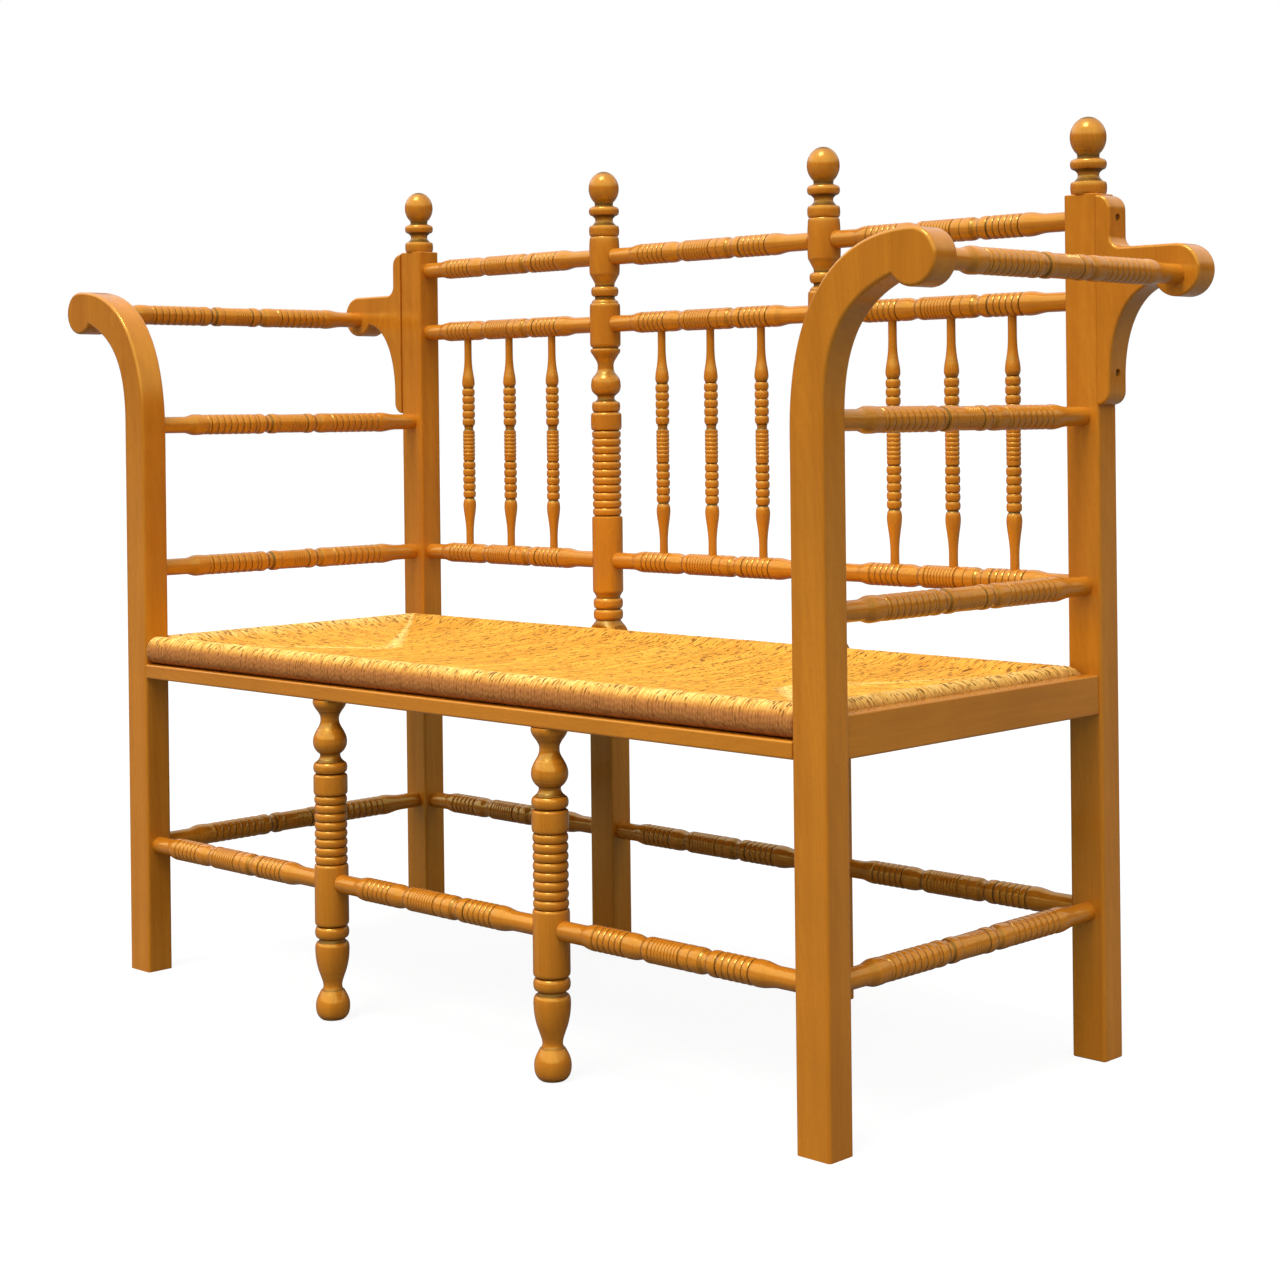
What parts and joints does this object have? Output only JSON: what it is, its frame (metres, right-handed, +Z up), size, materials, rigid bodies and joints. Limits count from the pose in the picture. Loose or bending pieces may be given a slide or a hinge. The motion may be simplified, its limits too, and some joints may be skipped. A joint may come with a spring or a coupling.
{
  "type": "settle bench",
  "caption": "Fixed wooden settle with sawn scroll arms, a turned spindle back in three bays and a rush slip seat.",
  "frame": {"origin": "on the floor, under the middle of the bounding box", "axes": "+Z up, +Y towards the back rest, +X to the sitter's left as they face out, which is the right hand of someone who looks at the front; left and right in node names are -X and +X"},
  "size_m": [1.5354, 0.538, 1.0963],
  "materials": {
    "varnished_wood": "clear varnish, honey coloured, satin to glossy",
    "rush": "twisted rush cord, dry, with a thin coat of varnish on the rolls",
    "screw_steel": "plain steel screw heads, a little dulled"
  },
  "bodies": {
    "root": {"arm_bracket_left": "varnished_wood", "arm_bracket_right": "varnished_wood", "arm_rod_lower_left": "varnished_wood", "arm_rod_lower_right": "varnished_wood", "arm_rod_middle_left": "varnished_wood", "arm_rod_middle_right": "varnished_wood", "arm_rod_top_left": "varnished_wood", "arm_rod_top_right": "varnished_wood", "back_post_mid_left": "varnished_wood", "back_post_mid_right": "varnished_wood", "back_rail_lower_centre": "varnished_wood", "back_rail_lower_left": "varnished_wood", "back_rail_lower_right": "varnished_wood", "back_rail_top_centre": "varnished_wood", "back_rail_top_left": "varnished_wood", "back_rail_top_right": "varnished_wood", "back_rail_upper_centre": "varnished_wood", "back_rail_upper_left": "varnished_wood", "back_rail_upper_right": "varnished_wood", "bracket_screw_lower_left": "screw_steel", "bracket_screw_lower_right": "screw_steel", "bracket_screw_upper_left": "screw_steel", "bracket_screw_upper_right": "screw_steel", "finial_left": "varnished_wood", "finial_right": "varnished_wood", "front_leg_mid_left": "varnished_wood", "front_leg_mid_right": "varnished_wood", "front_post_left": "varnished_wood", "front_post_right": "varnished_wood", "rear_post_left": "varnished_wood", "rear_post_right": "varnished_wood", "rush_seat": "rush", "seat_frame_front": "varnished_wood", "seat_frame_left": "varnished_wood", "seat_frame_rear": "varnished_wood", "seat_frame_right": "varnished_wood", "seat_rail_front": "varnished_wood", "seat_rail_left": "varnished_wood", "seat_rail_rear": "varnished_wood", "seat_rail_right": "varnished_wood", "spindle_centre_1": "varnished_wood", "spindle_centre_2": "varnished_wood", "spindle_centre_3": "varnished_wood", "spindle_left_1": "varnished_wood", "spindle_left_2": "varnished_wood", "spindle_left_3": "varnished_wood", "spindle_right_1": "varnished_wood", "spindle_right_2": "varnished_wood", "spindle_right_3": "varnished_wood", "stretcher_front_centre": "varnished_wood", "stretcher_front_left": "varnished_wood", "stretcher_front_right": "varnished_wood", "stretcher_rear_centre": "varnished_wood", "stretcher_rear_left": "varnished_wood", "stretcher_rear_right": "varnished_wood", "stretcher_side_left": "varnished_wood", "stretcher_side_right": "varnished_wood"}
  },
  "joints": []
}
